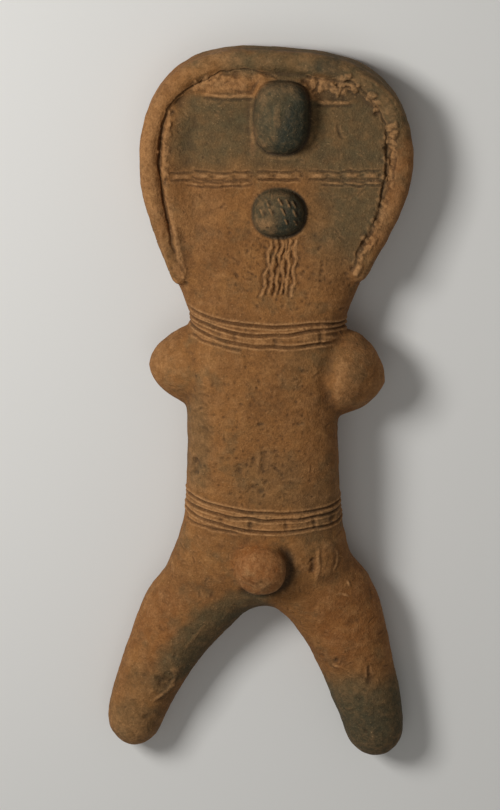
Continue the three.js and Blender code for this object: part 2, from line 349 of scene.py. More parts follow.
def cut(skin, points, half, depth, dirt_and_shade, lip=0.0, ragged=0.0):
    """A line drawn in the wet clay, with the lip that the tool throws up beside it."""
    line = bent(points)
    who = skin.near(line, 4 * half + ragged)
    away, along, length = measure(shaken(skin.at[who], 2.4, ragged), line)
    fade = ease(0.0, 2 * half, along) * ease(0.0, 2 * half, length - along)
    fade *= skin.reached[who] * (0.7 + 0.6 * mottle(skin.at[who], 3.0, seed=16))
    trough = fade * hump(away, 0.0, half)
    bank = fade * hump(away, 2 * half, 0.8 * half)
    skin.push[who] += lip * bank - depth * trough
    # The trough is darkened, and the lip is made paler with rubbed wear and painted highlight.
    skin.tint("dirt_and_shade", who, dirt_and_shade * trough)
    skin.tint("rub_and_highlight", who, min(3 * lip, 1.0) * bank)


def dab(skin, points, half, height, rub_and_highlight, pointed=0.0):
    """A raised strip or pellet of clay, with its ends drawn out thin where it is pointed."""
    line = bent(points)
    who = skin.near(line, 1.5 * half)
    away, along, length = measure(shaken(skin.at[who], 1.6, 0.2), line)
    swell = (1.0 - ease(0.3 * half, half, away)) * (0.65 + 0.7 * mottle(skin.at[who], 2.0, seed=18))
    swell *= skin.reached[who]
    if pointed:
        swell *= ease(-0.2 * pointed, pointed, along) * ease(-0.2 * pointed, pointed, length - along)
    skin.push[who] += height * swell
    # The strip is made paler, as rubbed wear and as painted highlight on its crest.
    skin.tint("rub_and_highlight", who, rub_and_highlight * swell)


def torn(skin, points, half, height, seed, rub_and_highlight):
    """A strip of torn clay: crumbs of many sizes pressed together."""
    line = bent(points)
    steps = np.hypot(*np.diff(line, axis=0).T)
    marks = np.append(0.0, np.cumsum(steps))
    who = skin.near(line, 2 * half)
    ragged = shaken(skin.at[who], 1.2, 0.45)
    hand = np.random.default_rng(seed)
    heap = np.zeros(len(who))
    for along in hand.uniform(0.0, marks[-1], int(4 * marks[-1] / half) + 4):
        middle = [np.interp(along, marks, way) for way in line.T] + hand.normal(0.0, 0.4 * half, 2)
        gap = np.hypot(*(ragged - middle).T) / (half * hand.uniform(0.25, 0.7))
        heap = np.maximum(heap, hand.uniform(0.3, 1.0) * np.clip(1.0 - gap**2, 0.0, 1.0) ** 0.6)
    heap *= skin.reached[who]
    skin.push[who] += height * heap
    # The crumbs are made paler, as rubbed clay and as painted highlight on their tops.
    skin.tint("rub_and_highlight", who, rub_and_highlight * ease(0.1, 0.6, heap))


def pit(skin, at, half, depth, dirt_and_shade):
    """A small uneven hole or a shallow dent."""
    who = skin.near(np.array([at], float), 2.5 * half)
    away = np.hypot(*(shaken(skin.at[who], 1.5, 0.6 * half) - at).T)
    hollow = skin.reached[who] * hump(away, 0.0, half)
    skin.push[who] -= depth * hollow
    skin.tint("dirt_and_shade", who, dirt_and_shade * hollow)


def outline(skin, knob):
    """1 on a knob's outline, less inside it and more outside."""
    across = np.abs((skin.x - knob["at"][0]) / knob["half"][0])
    up = np.abs((skin.y - knob["at"][1]) / knob["half"][1])
    return (across ** knob["square"] + up ** knob["square"]) ** (1.0 / knob["square"])


def past_outline(skin, knob):
    """About how many millimetres each place lies outside a knob's outline."""
    return (outline(skin, knob) - 1.0) * min(knob["half"])


def seam(skin, knob):
    """The joint round a face knob, and the clay smeared up round it. The joint is closed above and to the
    left, and open below and to the right, where its darkening is also painted shade on the side away from
    the light."""
    x, y = knob["at"]
    off = past_outline(skin, knob)
    open_and_shaded = 0.3 + 0.7 * ease(-4.0, 5.0, skin.x - x - 0.6 * (skin.y - y))
    uneven = ease(0.25, 0.75, mottle(skin.at, 3.2, seed=15))
    joint_and_shade = skin.front * open_and_shaded * hump(off, 0.0, 0.45)
    bank = skin.front * uneven * hump(off, 0.9, 0.45)
    skin.push += 0.1 * bank - 0.5 * joint_and_shade
    # Darker below and to the right: painted shade on the joint's side away from the light, over the dark
    # joint.
    skin.tint("dirt_and_shade", EVERYWHERE, joint_and_shade)
    skin.tint("rub_and_highlight", EVERYWHERE, 0.25 * bank)


def nose_drawn_out(skin):
    """The nose is drawn out upwards, and a little to the left."""
    x, y = NOSE["at"]
    edge = outline(skin, NOSE)
    flank = skin.front * ease(0.55, 0.85, edge) * (1.0 - ease(1.0, 1.2, edge))
    skin.push += flank * (1.2 * ease(2.0, 9.0, skin.y - y) + 0.5 * ease(1.0, 7.0, x - skin.x))


def loin_joint(skin):
    """How far each place lies outside the loin knob's outline, and how sharp the joint is there: the
    knob is smeared into the belly above and to the left, and stands sharp elsewhere."""
    x, y = LOIN_KNOB["at"]
    return past_outline(skin, LOIN_KNOB), ease(-2.0, 5.0, skin.x - x - 0.8 * (skin.y - y))


def loin_seam(skin):
    """The joint below the loin knob and to its right, darkened there as soil in the joint and as painted
    shadow of the knob.
    """
    off, sharp = loin_joint(skin)
    knob = skin.front * (0.35 + 0.65 * sharp) * (1.0 - ease(-1.5, 1.0, off))
    joint_and_shade = skin.front * sharp * hump(off, 0.8, 1.2)
    skin.push += 0.8 * knob - 1.2 * joint_and_shade
    # The joint's dark tint is partly painted shadow, cast by the knob on its side away from the light.
    skin.tint("dirt_and_shade", EVERYWHERE, joint_and_shade)


def band_level(band, line, x):
    """The level of a band's line at x."""
    middle, slope, sag, _ = line
    x = np.minimum(x, band["level_from"])
    return middle + slope * x + sag * x * x


def band_line(skin, band, line):
    """A line drawn round the front from its start on the left side to its end on the right."""
    middle, end = line[0], line[-1]
    half, fade = BAND_LINE["half"], BAND_LINE["fade"]
    across = skin.at * (1, 0, 0)
    wobble = 0.5 * (mottle(across, 5.0, seed=int(middle) + 60) - 0.5)
    off = np.abs(skin.y - band_level(band, line, skin.x) - wobble)
    press = 0.7 + 0.6 * mottle(across, 6.0, seed=int(middle) + 90)
    reach = ease(band["start"], band["start"] + fade, skin.x) * (1.0 - ease(end - fade, end, skin.x))
    reach *= ease(-0.55, 0.0, skin.normal[:, 2])
    trough = reach * hump(off, 0.0, half)
    bank = reach * hump(off, 1.9 * half, 0.8 * half)
    skin.push += press * (BAND_LINE["lip"] * bank - BAND_LINE["depth"] * trough)
    # The trough is darkened, and the lips are made paler with rubbed wear and painted highlight.
    skin.tint("dirt_and_shade", EVERYWHERE, 0.75 * trough)
    skin.tint("rub_and_highlight", EVERYWHERE, 0.9 * press * bank)


def draw_band(skin, band):
    """Three lines, with the strip between the lower two nicked into a row of long beads."""
    for line in band["lines"]:
        band_line(skin, band, line)
    for before, x in zip(band["nicks"], band["nicks"][1:]):
        upper, lower = [band_level(band, line, x) for line in band["lines"][1:]]
        nick = [(x - 0.2, upper + 0.6), (x + 0.2, lower - 0.6)]
        cut(skin, nick, half=0.6, depth=0.3, lip=0.1, dirt_and_shade=0.35, ragged=0.4)
        bead = [(before + 1.2, 0.5 * (upper + lower)), (x - 1.2, 0.5 * (upper + lower))]
        dab(skin, bead, half=1.3, height=0.3, rub_and_highlight=0.35, pointed=1.5)


def brow_bead(skin, hand, x, end, level, thick):
    """A long bead between two drawn lines, with a nick at its end."""
    y = level + BROW_RISE * (x + end) / 2 + hand.uniform(-0.15, 0.15)
    tilt = hand.uniform(-0.2, 0.3)
    for off in (-1.15 * thick, 1.15 * thick):
        ends = [(x - 0.4, y + off - tilt), (end + 0.4, y + off + tilt)]
        cut(skin, ends, half=0.28, depth=hand.uniform(0.25, 0.45), lip=0.1, dirt_and_shade=0.6, ragged=0.3)
    bead = [(x + 0.3, y - tilt), (end - 0.3, y + tilt)]
    half = thick * hand.uniform(0.8, 1.05)
    dab(skin, bead, half, height=thick * hand.uniform(0.4, 0.65), rub_and_highlight=0.7, pointed=2.2)
    nick = [(end - 0.3, y + 0.7 * thick), (end + 0.3, y - 0.7 * thick)]
    cut(skin, nick, half=0.4, depth=0.3, dirt_and_shade=0.7)


def brow(skin):
    """A dashed cord across the face: a row of long beads between drawn lines, over a thinner one."""
    hand = np.random.default_rng(17)
    for level, thick, stretches in BROW_ROWS:
        for start, stop in stretches:
            x = start
            while x < stop - SHORTEST_BEAD:
                end = min(x + hand.uniform(*BEAD_LENGTHS), stop)
                brow_bead(skin, hand, x, end, level, thick)
                x = end
    middle_line = [(-6.8, 73.3), (0.0, 73.4), (6.6, 73.6)]
    cut(skin, middle_line, half=0.35, depth=0.4, lip=0.15, dirt_and_shade=0.6, ragged=0.3)


def beard(skin):
    """Uneven strokes below the mouth, side by side like strands of a plait."""
    hand = np.random.default_rng(5)
    levels = STRAND_LEVELS
    fall = (levels[0] - levels) / (levels[0] - levels[-1])
    for i in range(STRANDS):
        top, bottom = [first + width * (i / (STRANDS - 1)) for first, width in (STRANDS_TOP, STRANDS_BOTTOM)]
        middle = top * (1 - fall) + bottom * fall
        sway = hand.uniform(0.2, 0.45) * np.sin(hand.uniform(0.6, 1.1) * levels + hand.uniform(0.0, 6.0))
        sway += hand.uniform(-0.2, 0.2, len(levels)) + hand.uniform(-0.25, 0.25)
        last = len(levels) - hand.integers(0, 5) // 2
        strand = list(zip(middle + sway, levels - hand.uniform(0.0, 1.2)))[:last]
        depth = hand.uniform(0.3, 0.65)
        cut(skin, strand, half=0.33, depth=depth, dirt_and_shade=hand.uniform(0.25, 0.6), ragged=0.5)
        ridge = [(x + STRAND_GAP, y) for x, y in strand[1:-1]]
        dab(skin, ridge, half=0.75, height=hand.uniform(0.25, 0.5), rub_and_highlight=hand.uniform(0.35, 0.75))


def mouth_stabs(skin):
    """Short slanting stabs on the mouth knob."""
    for x, y in [
        (-3.5, 67.3), (0.4, 67.8), (2.7, 67.4), (4.6, 67.1), (5.0, 64.4), (5.2, 61.5), (-2.2, 64.6),
        (1.3, 65.0), (-5.0, 64.2), (2.4, 61.9),
    ]:
        dab(skin, [(x - 0.5, y + 0.8), (x + 0.5, y - 0.8)], half=0.45, height=0.3, rub_and_highlight=0.7)
        cut(skin, [(x + 0.4, y + 0.9), (x + 1.3, y - 0.8)], half=0.35, depth=0.35, dirt_and_shade=1.0)


def beside_roll(skin, crease, reach):
    """1 on the face close to the roll's crease, down to 0 at the reach, and 0 on the roll."""
    x, y = bent(crease)[::-1].T
    off = (skin.x - np.interp(skin.y, y, x)) * -np.sign(x[0])
    ends = ease(y[0] - 3.0, y[0] + 3.0, skin.y) * (1.0 - ease(y[-1] - 8.0, y[-1], skin.y))
    return skin.front * ends * ease(0.2, 1.2, off) * (1.0 - ease(1.5, reach, off))


def roll_joint(skin):
    """The joint of the roll round the head: clay raised against it, creases and small holes."""
    above_cheeks = ease(48.0, 62.0, skin.y)
    skin.push += 2.2 * beside_roll(skin, LEFT_JOINT, LEFT_REACH) * above_cheeks
    skin.push += 0.5 * beside_roll(skin, RIGHT_JOINT, RIGHT_REACH) * above_cheeks
    cut(skin, LEFT_CREASE[:-2], half=0.28, depth=0.4, lip=0.1, dirt_and_shade=0.4, ragged=0.5)
    cut(skin, LEFT_CREASE[-3:], half=0.6, depth=0.5, lip=0.1, dirt_and_shade=0.35, ragged=0.5)
    cut(skin, RIGHT_CREASE, half=0.33, depth=0.45, lip=0.1, dirt_and_shade=0.5, ragged=0.7)
    second_crack = [(34.5, 84.1), (35.0, 81.2), (34.6, 77.5), (34.4, 74.7)]
    cut(skin, second_crack, half=0.35, depth=0.4, lip=0.1, dirt_and_shade=0.7)
    for at in ROLL_HOLES:
        pit(skin, at, half=0.8, depth=0.8, dirt_and_shade=1.0)


def torn_clay(skin):
    """Clay torn and smeared up against the roll where it was pressed on."""
    smear = [(-25.0, 101.0), (-17.0, 101.8), (-9.4, 101.8)]
    dab(skin, smear, half=4.0, height=0.6, rub_and_highlight=0.45, pointed=3.0)
    dab(skin, [(-12.6, 104.0), (-7.4, 103.6)], half=2.6, height=0.6, rub_and_highlight=0.35)
    for seed, (points, half, height) in enumerate(TORN_STRIPS, TORN_SEED):
        torn(skin, points, half, height, seed, rub_and_highlight=0.6)
    dab(skin, [(25.4, 48.0), (24.4, 46.2)], half=1.6, height=0.8, rub_and_highlight=0.7)
    for x, y in CRUMBS:
        dab(skin, [(x - 0.7, y + 0.5), (x + 0.7, y - 0.5)], half=1.2, height=1.0, rub_and_highlight=0.4)


def head_marks(skin):
    """Thin strips across the forehead, seams of the roll, and a soft ridge on the nose."""
    for points in FOREHEAD_STRIPS:
        dab(skin, points, half=0.75, height=0.5, rub_and_highlight=0.7, pointed=2.0)
        cut(skin, [(x, y - 1.0) for x, y in points], half=0.4, depth=0.25, dirt_and_shade=0.5)
    cut(skin, [(-16.6, 100.4), (-13.0, 99.7), (-9.0, 99.8)], half=0.4, depth=0.3, dirt_and_shade=0.5)
    left_seam = [(-32.6, 62.0), (-31.0, 55.0), (-29.4, 48.5), (-28.0, 43.0), (-26.6, 37.0)]
    dab(skin, left_seam, half=1.3, height=0.3, rub_and_highlight=0.6, pointed=6.0)
    dab(skin, [(-30.4, 45.6), (-28.8, 42.6)], half=1.8, height=0.4, rub_and_highlight=0.4)
    pit(skin, (-27.4, 40.2), half=0.7, depth=0.6, dirt_and_shade=0.8)
    right_seam = [(22.0, 107.2), (28.0, 104.2), (33.5, 99.4), (36.6, 93.8)]
    dab(skin, right_seam, half=0.8, height=0.3, rub_and_highlight=0.35, pointed=6.0)
    cut(skin, [(16.8, 91.0), (17.4, 88.4), (18.8, 86.2)], half=0.4, depth=0.3, lip=0.1, dirt_and_shade=0.4)
    dab(skin, [(-1.8, 98.0), (-1.2, 90.0)], half=1.6, height=0.35, rub_and_highlight=0.0, pointed=3.0)


def arms(skin):
    """The right arm is a lobe of its own, with a soft fold beside it."""
    fold = [(21.4, 27.0), (18.6, 21.5), (17.0, 15.0), (17.0, 8.0), (18.6, 2.0)]
    cut(skin, fold, half=2.0, depth=0.45, dirt_and_shade=0.12)
    x, y = bent(fold)[::-1].T
    off = skin.x - np.interp(skin.y, y, x)
    lobe = skin.front * ease(0.0, 4.0, off) * (1.0 - ease(5.0, 20.0, off))
    skin.push += lobe * ease(0.0, 7.0, skin.y) * (1.0 - ease(17.0, 27.0, skin.y))
    for start, end in [
        ((14.0, 30.2), (17.4, 29.4)), ((15.0, 28.2), (19.4, 27.6)), ((15.4, 25.9), (20.4, 25.2)),
    ]:
        dab(skin, [start, end], half=0.7, height=0.35, rub_and_highlight=0.6, pointed=1.2)


def trunk_wear(skin):
    """Pits, scrapes and small chips of the chest, the belly and the hips."""
    for at, half, depth in [
        ((9.1, -1.0), 0.9, 0.5), ((-8.4, -16.2), 1.0, 0.6), ((-2.0, -22.2), 0.9, 0.5),
        ((-4.5, -21.1), 0.8, 0.4), ((-1.3, -16.1), 0.8, 0.4), ((-22.6, -15.6), 1.6, 0.7),
        ((-22.2, -18.4), 1.2, 0.6), ((-20.0, -5.0), 1.6, 0.3), ((12.6, 8.6), 0.7, 0.3),
        ((-14.0, 11.0), 0.7, 0.3), ((-12.0, 44.0), 0.7, 0.35), ((14.0, 46.5), 0.7, 0.35),
    ]:
        pit(skin, at, half, depth, dirt_and_shade=0.3)
    cut(skin, [(-1.6, -8.5), (-1.2, -12.0), (-2.0, -16.1)], half=0.8, depth=0.35, lip=0.1, dirt_and_shade=0.4)
    torn(skin, [(-24.4, -12.0), (-23.6, -19.0)], half=1.5, height=0.45, seed=90, rub_and_highlight=0.4)
    thumb_cut = [(14.9, -43.0), (15.4, -46.2), (15.2, -49.2)]
    cut(skin, thumb_cut, half=0.8, depth=0.65, dirt_and_shade=0.65, ragged=0.4)
    thumb_ridge = [(16.3, -39.0), (16.9, -44.6), (16.8, -48.6), (16.4, -52.2)]
    dab(skin, thumb_ridge, half=0.85, height=0.35, rub_and_highlight=0.6, pointed=4.0)
    dab(skin, [(19.4, -40.8), (19.9, -44.8), (19.3, -48.6)], half=2.8, height=0.5, rub_and_highlight=0.1)
    thumb_edge = [(21.6, -40.6), (22.6, -43.9), (22.4, -46.9), (21.2, -49.4)]
    dab(skin, thumb_edge, half=0.6, height=0.25, rub_and_highlight=0.8, pointed=3.0)
    dab(skin, [(26.0, -52.0), (27.1, -54.2)], half=0.45, height=0.25, rub_and_highlight=0.8, pointed=1.0)
    hip_chip = [(23.1, -55.9), (25.0, -56.2), (27.2, -57.1)]
    dab(skin, hip_chip, half=0.45, height=0.25, rub_and_highlight=0.8, pointed=1.0)
    left_chip = [(-29.6, -47.4), (-28.4, -50.0), (-28.0, -53.0)]
    dab(skin, left_chip, half=0.7, height=0.2, rub_and_highlight=0.6, pointed=2.5)


def leg_wear(skin):
    """Dents, a ridge and chips of the legs."""
    thigh_ridge = [(-17.6, -68.4), (-20.3, -72.6), (-24.2, -77.6)]
    dab(skin, thigh_ridge, half=0.6, height=0.2, rub_and_highlight=0.3, pointed=3.0)
    pit(skin, (-30.6, -88.2), half=2.4, depth=0.9, dirt_and_shade=0.2)
    pit(skin, (-28.4, -87.0), half=1.6, depth=0.5, dirt_and_shade=0.2)
    dab(skin, [(-26.4, -84.2), (-25.6, -85.2)], half=1.7, height=0.3, rub_and_highlight=0.45)
    crescent = [(-25.9, -84.6), (-26.2, -87.5), (-27.4, -90.2), (-30.1, -92.7), (-33.0, -95.0)]
    dab(skin, crescent, half=0.8, height=0.5, rub_and_highlight=0.65, pointed=2.5)
    pit(skin, (-34.8, -100.2), half=0.9, depth=0.5, dirt_and_shade=0.6)
    cut(skin, [(22.8, -78.0), (25.0, -78.8)], half=0.8, depth=0.7, dirt_and_shade=0.7)
    dab(skin, [(22.6, -80.0), (25.4, -80.6)], half=0.8, height=0.5, rub_and_highlight=0.6, pointed=1.2)
    pit(skin, (35.0, -84.1), half=1.1, depth=0.6, dirt_and_shade=0.6)
    shin_cut = [(34.9, -83.4), (34.2, -81.6), (34.4, -79.4)]
    cut(skin, shin_cut, half=0.45, depth=0.4, lip=0.15, dirt_and_shade=0.5, ragged=0.3)
    for at, half, depth in [
        ((27.9, -65.5), 1.4, 0.5), ((30.1, -64.7), 1.1, 0.45), ((31.9, -90.5), 0.9, 0.3),
        ((34.3, -101.7), 0.7, 0.4), ((-30.0, -70.5), 0.8, 0.3), ((-36.0, -86.0), 0.7, 0.3),
    ]:
        pit(skin, at, half, depth, dirt_and_shade=0.15)


def scratches(skin):
    """Fine scrapes of the smoothing tool and of long burial, all over the front."""
    hand = np.random.default_rng(7)
    for _ in range(SCRATCHES):
        middle = np.array([hand.uniform(-42.0, 42.0), hand.uniform(-110.0, 106.0)])
        turn = math.radians(hand.normal(-35.0, 45.0))
        way = np.array([math.cos(turn), math.sin(turn)]) * (0.3 + min(hand.exponential(0.6), 1.2))
        bow = np.array([-way[1], way[0]]) * hand.uniform(-0.15, 0.15)
        half = hand.uniform(0.2, 0.4)
        depth = hand.uniform(0.05, 0.2)
        points = [middle - way, middle + bow, middle + way]
        cut(skin, points, half, depth, lip=0.08, dirt_and_shade=0.2, ragged=0.3)


def coarse_clay(skin, middle, spread, count, seed):
    """Many small pits where the clay is coarse, fewer further from the middle."""
    hand = np.random.default_rng(seed)
    for at in hand.normal(middle, spread, (count, 2)):
        half = hand.uniform(0.25, 0.5)
        depth = hand.uniform(0.1, 0.35)
        pit(skin, at, half, depth, dirt_and_shade=hand.uniform(0.1, 0.4))


def hand_pressed(skin):
    """The unevenness that fingers and a smoothing tool leave on clay."""
    off_ground = ease(0.3, 4.0, skin.z)
    for size, depth, seed in LUMPS:
        skin.push += off_ground * depth * (mottle(skin.at, size, seed) - 0.5)


def work_clay(skin):
    """Everything that the maker's hands and tools, and time, did to the skin."""
    hand_pressed(skin)
    nose_drawn_out(skin)
    seam(skin, NOSE)
    seam(skin, MOUTH)
    loin_seam(skin)
    draw_band(skin, NECK)
    draw_band(skin, WAIST)
    brow(skin)
    for points in STRAY_LINES:
        cut(skin, points, half=0.36, depth=0.35, lip=0.2, dirt_and_shade=0.4, ragged=0.3)
    beard(skin)
    mouth_stabs(skin)
    roll_joint(skin)
    torn_clay(skin)
    head_marks(skin)
    arms(skin)
    trunk_wear(skin)
    leg_wear(skin)
    scratches(skin)
    for middle, spread, count, seed in COARSE_PLACES:
        coarse_clay(skin, middle, spread, count, seed)


def blot(skin, tint, at, half, amount):
    """A soft-edged patch of tint with an uneven edge."""
    who = skin.near(np.array([at], float), 1.6 * max(half))
    spot = skin.at[who]
    reach = np.hypot((spot[:, 0] - at[0]) / half[0], (spot[:, 1] - at[1]) / half[1])
    reach += 0.6 * (mottle(spot, 3.5, seed=21) - 0.5)
    skin.tint(tint, who, amount * (1.0 - ease(0.5, 1.15, reach)))


def stain(skin, tint, points, half, amount):
    """A soft-edged strip of tint with an uneven edge."""
    line = bent(points)
    who = skin.near(line, 1.6 * half)
    away = measure(skin.at[who, :2], line)[0]
    reach = away / half + 0.5 * (mottle(skin.at[who], 3.5, seed=21) - 0.5)
    skin.tint(tint, who, amount * (1.0 - ease(0.55, 1.15, reach)))


def dark_knobs(skin):
    """The dark coat of the two face knobs, worn off where they are rubbed, and darker towards the right and
    the bottom as painted shade on the side away from the light.
    """
    uneven = mottle(skin.at, 3.2, seed=31) - 0.5
    for knob, least in ((NOSE, 0.45), (MOUTH, 0.42)):
        inside = skin.front * (1.0 - ease(0.98, 1.06, outline(skin, knob)))
        # painted shade: the coat grows darker towards each knob's right and bottom
        shade = ease(-2.0, 3.0, skin.x - knob["at"][0] - 0.4 * (skin.y - knob["at"][1]))
        coat_and_shade = inside * (least + 0.6 * shade + 0.25 * uneven) * (1.0 - 0.75 * skin.tints["rub_and_highlight"])
        skin.tint("coat_and_shade", EVERYWHERE, np.clip(coat_and_shade, 0.0, 1.0))
        skin.tint("ash_and_shade", EVERYWHERE, inside)


def face_clouds(skin):
    """Grey fire clouds on the forehead and the right cheek, thin on the right of the roll; the right cheek's
    grey also serves as painted shade on the face's side away from the light.
    """
    wander = 5.0 * (mottle(skin.at, 7.0, seed=42) - 0.5)
    forehead = ease(70.0, 81.0, skin.y + wander) * (1.0 - ease(97.0, 99.5, skin.y + 0.3 * wander))
    forehead *= 1.0 - ease(27.0, 36.0, np.abs(skin.x + 1.0) + wander)
    skin.tint("ash_and_shade", EVERYWHERE, 0.82 * forehead * skin.front)
    crease, level = bent(RIGHT_CREASE)[::-1].T
    on_roll = ease(-0.5, 1.5, skin.x - np.interp(skin.y, level, crease)) * (1.0 - ease(84.0, 94.0, skin.y))
    # The right cheek's grey is fire cloud and also painted shade, darker to the right.
    right_cheek_cloud_and_shade = ease(2.0, 20.0, skin.x + wander) * ease(38.0, 60.0, skin.y) * (1.0 - 0.7 * on_roll)
    skin.tint("ash_and_shade", EVERYWHERE, 0.85 * right_cheek_cloud_and_shade * skin.front)


def loin_knob_shadow(skin):
    """Painted shadow of the loin knob: dark coat laid in the hollow below the knob and to its right, where
    its shadow falls.
    """
    off, sharp = loin_joint(skin)
    hollow = skin.front * sharp * hump(off, 1.2, 1.3)
    # painted shadow: the knob's cast shadow below it and to its right
    skin.tint("coat_and_shade", EVERYWHERE, 0.55 * hollow)


def right_foot_cloud(skin):
    """The right leg is grey below a slanting fire line, and darkest at its end."""
    level = -82.6 + 0.1 * (skin.x - 27.0)
    above = skin.y - level + 5.0 * (mottle(skin.at, 6.0, seed=41) - 0.5)
    right_leg = skin.x > 5.0
    skin.tint("ash_and_shade", EVERYWHERE, right_leg * (1.0 - ease(-8.0, 3.0, above)))
    skin.tint("coat_and_shade", EVERYWHERE, 0.55 * right_leg * (1.0 - ease(-18.0, 0.0, above)))


def darker_hollows_paler_heights(skin):
    """Darker in the hollows and paler on the high places."""
    rounds = 10
    full_depth = 0.22
    soft = skin.softened(np.full(len(skin.at), 0.7), rounds)
    sunk = ((soft - skin.at) * skin.normal).sum(axis=1) / full_depth
    skin.tint("dirt_and_shade", EVERYWHERE, 0.8 * np.clip(sunk, 0.0, 1.0) * skin.front)
    skin.tint("rub_and_highlight", EVERYWHERE, 0.5 * np.clip(-sunk - 0.15, 0.0, 1.0) * skin.front)


def colour_clay(skin):
    """Dark coats, fire clouds, stains, soil and rubbed places, and the painted shade and painted highlights
    laid in the same tints.
    """
    dark_knobs(skin)
    face_clouds(skin)
    for tint, at, half, amount in PATCHES:
        blot(skin, tint, at, half, amount)
    for tint, points, half, amount in STAINS:
        stain(skin, tint, points, half, amount)
    loin_knob_shadow(skin)
    right_foot_cloud(skin)
    darker_hollows_paler_heights(skin)


def settle(piece):
    """Give a piece its mesh with the modifiers applied, in place of the modifiers."""
    view = bpy.context.evaluated_depsgraph_get()
    mesh = bpy.data.meshes.new_from_object(piece.evaluated_get(view))
    piece.modifiers.clear()
    old = piece.data
    piece.data = mesh
    bpy.data.meshes.remove(old)


def even_skin(solid):
    """A new piece with a node's form and evenly spaced points."""
    shape = bmesh.new()
    shape.from_mesh(solid.data)
    bmesh.ops.remove_doubles(shape, verts=shape.verts, dist=1e-6)
    mesh = bpy.data.meshes.new("clay_skin")
    shape.to_mesh(mesh)
    shape.free()
    piece = bpy.data.objects.new("clay_skin", mesh)
    bpy.context.scene.collection.objects.link(piece)
    remesh = piece.modifiers.new("even_skin", "REMESH")
    remesh.mode = "VOXEL"
    remesh.voxel_size = SKIN_STEP * MM
    settle(piece)
    return piece


def plain_cuts(skin):
    """1 where the solid's plain cuts are rubbed out before they are drawn again by hand."""
    inside = np.zeros(len(skin.at))
    for left, right, low, high in PLAIN_CUTS:
        inside[(skin.x > left) & (skin.x < right) & (skin.y > low) & (skin.y < high)] = 1.0
    return inside


def smeared_joints(skin):
    """1 where a joint is smeared over: above the loin knob, and on the face beside the roll."""
    off, sharp = loin_joint(skin)
    smeared = 0.2 * skin.front * (1.0 - sharp) * (1.0 - ease(1.5, 4.5, np.abs(off - 0.5)))
    smeared = np.maximum(smeared, ease(0.0, 0.3, beside_roll(skin, LEFT_JOINT, LEFT_REACH)))
    smeared = np.maximum(smeared, ease(0.0, 0.3, beside_roll(skin, RIGHT_JOINT, RIGHT_REACH)))
    from_end = measure(skin.at[:, :2], bent(LEFT_ROLL_END))[0]
    return np.maximum(smeared, skin.front * (1.0 - ease(1.0, 3.2, from_end)))


def rub_smooth(skin):
    """Round off the solid's facets, but keep the knobs' rims and the roll's crease."""
    knobs = np.min([outline(skin, knob) for knob in (NOSE, MOUTH, LOIN_KNOB)], axis=0)
    rim = ease(0.6, 0.85, knobs) * (1.0 - ease(1.02, 1.2, knobs))
    from_crease = measure(skin.at[:, :2], bent(LEFT_CREASE))[0]
    from_crease = np.minimum(from_crease, measure(skin.at[:, :2], bent(RIGHT_CREASE))[0])
    most, least = 0.8, 0.15
    loose = most - 0.6 * skin.front * rim
    loose -= 0.55 * skin.front * (1.0 - ease(1.5, 6.0, from_crease)) * (skin.y > CHIN)
    skin.soften(np.clip(loose, least, most), SOFTEN_ROUNDS)
    cuts = plain_cuts(skin) * ease(1.0, 1.3, knobs) * ease(1.0, 4.0, from_crease)
    skin.soften(FULL_RUB * cuts * skin.front, FLATTEN_ROUNDS)
    skin.soften(FULL_RUB * smeared_joints(skin), SMEAR_ROUNDS)


def thin_plain_places(piece, skin):
    """Thin the skin to its number of triangles, least at the drawn lines and the torn clay."""
    drawn = np.maximum(skin.tints["dirt_and_shade"], skin.tints["rub_and_highlight"]) > DRAWN
    group = piece.vertex_groups.new(name=PLAIN)
    group.add(np.flatnonzero(~drawn).tolist(), 1.0, "REPLACE")
    group.add(np.flatnonzero(drawn).tolist(), FINE_SHARE, "REPLACE")
    thin = piece.modifiers.new("thin_plain_places", "DECIMATE")
    thin.ratio = SKIN_TRIANGLES / sum(len(face.vertices) - 2 for face in piece.data.polygons)
    thin.use_collapse_triangulate = True
    thin.vertex_group = PLAIN
    settle(piece)


def clay_skin():
    """The figure's solid as a fine skin: rubbed smooth, worked by hand, thinned and tinted."""
    piece = even_skin(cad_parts["clay_figure"])
    skin = Skin(piece.data)
    rub_smooth(skin)
    skin.write(piece.data)

    skin = Skin(piece.data)
    work_clay(skin)
    skin.at += skin.push[:, None] * skin.normal
    skin.at[:, 2] = np.maximum(skin.at[:, 2], 0.0)
    skin.write(piece.data)
    thin_plain_places(piece, skin)
    piece.data.shade_smooth()

    skin = Skin(piece.data)
    work_clay(skin)
    colour_clay(skin)
    for name, amount in skin.tints.items():
        layer = piece.data.attributes.new(name, "FLOAT", "POINT")
        layer.data.foreach_set("value", np.clip(amount, 0.0, 1.0).astype(np.float32))
    return piece


